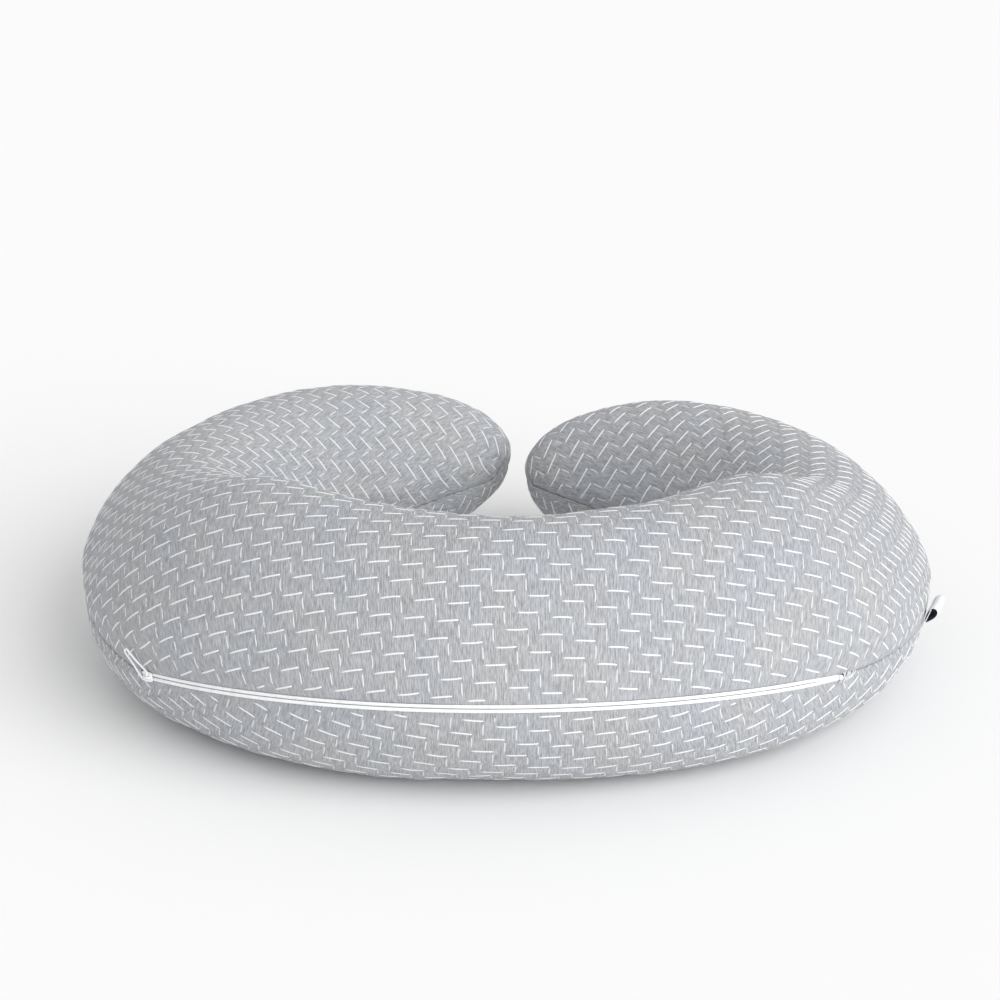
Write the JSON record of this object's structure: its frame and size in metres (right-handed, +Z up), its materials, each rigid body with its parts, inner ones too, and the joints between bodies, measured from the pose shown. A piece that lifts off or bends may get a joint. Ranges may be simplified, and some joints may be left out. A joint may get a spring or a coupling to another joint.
{
  "type": "nursing pillow",
  "caption": "C-shaped fibre-filled support pillow in a zip-off quilted knit cover, worn round the waist to hold a baby at feeding height.",
  "frame": {"origin": "bottom centre of the whole object's box, on the plane the pillow lies on", "axes": "+X across the pillow, from the left arm to the right arm; -Y towards the closed front with the zip; +Z up"},
  "size_m": [0.542, 0.48, 0.153],
  "materials": {
    "cover_fabric": "heather grey quilted jacquard knit with white float stitches",
    "liner_fabric": "plain off-white woven cotton",
    "fill_fibre": "white hollow polyester fibre",
    "zip_tape": "white woven zip tape",
    "zip_nylon": "white nylon coil",
    "slider_enamel": "white enamel on die-cast metal",
    "label_ribbon": "smooth white ribbon, dark blue on its inner face"
  },
  "bodies": {
    "pillow": {"cover_top_panel": "cover_fabric", "cover_bottom_panel": "cover_fabric", "liner_top_panel": "liner_fabric", "liner_bottom_panel": "liner_fabric", "fibre_fill": "fill_fibre", "side_label": "label_ribbon", "zip_tape_upper": "zip_tape", "zip_tape_lower": "zip_tape", "zip_coil_upper": "zip_nylon", "zip_coil_lower": "zip_nylon", "zip_top_stop_upper": "zip_nylon", "zip_top_stop_lower": "zip_nylon", "zip_bottom_stop": "zip_nylon"},
    "slider": {"zip_slider": "slider_enamel"},
    "pull": {"zip_pull_loop": "slider_enamel"}
  },
  "joints": [
    {"name": "zip_slide", "type": "hinge", "parent": "pillow", "child": "slider", "pos_m": [0.00372, 0.05332, 0.00664], "axis": [0, 0.2215, 0.9751], "range_deg": [0, 84.1]},
    {"name": "pull_flip", "type": "hinge", "parent": "slider", "child": "pull", "pos_m": [-0.2181, -0.14744, 0.05197], "axis": [0.3963, -0.364, 0.8429], "range_deg": [0, 170]}
  ]
}
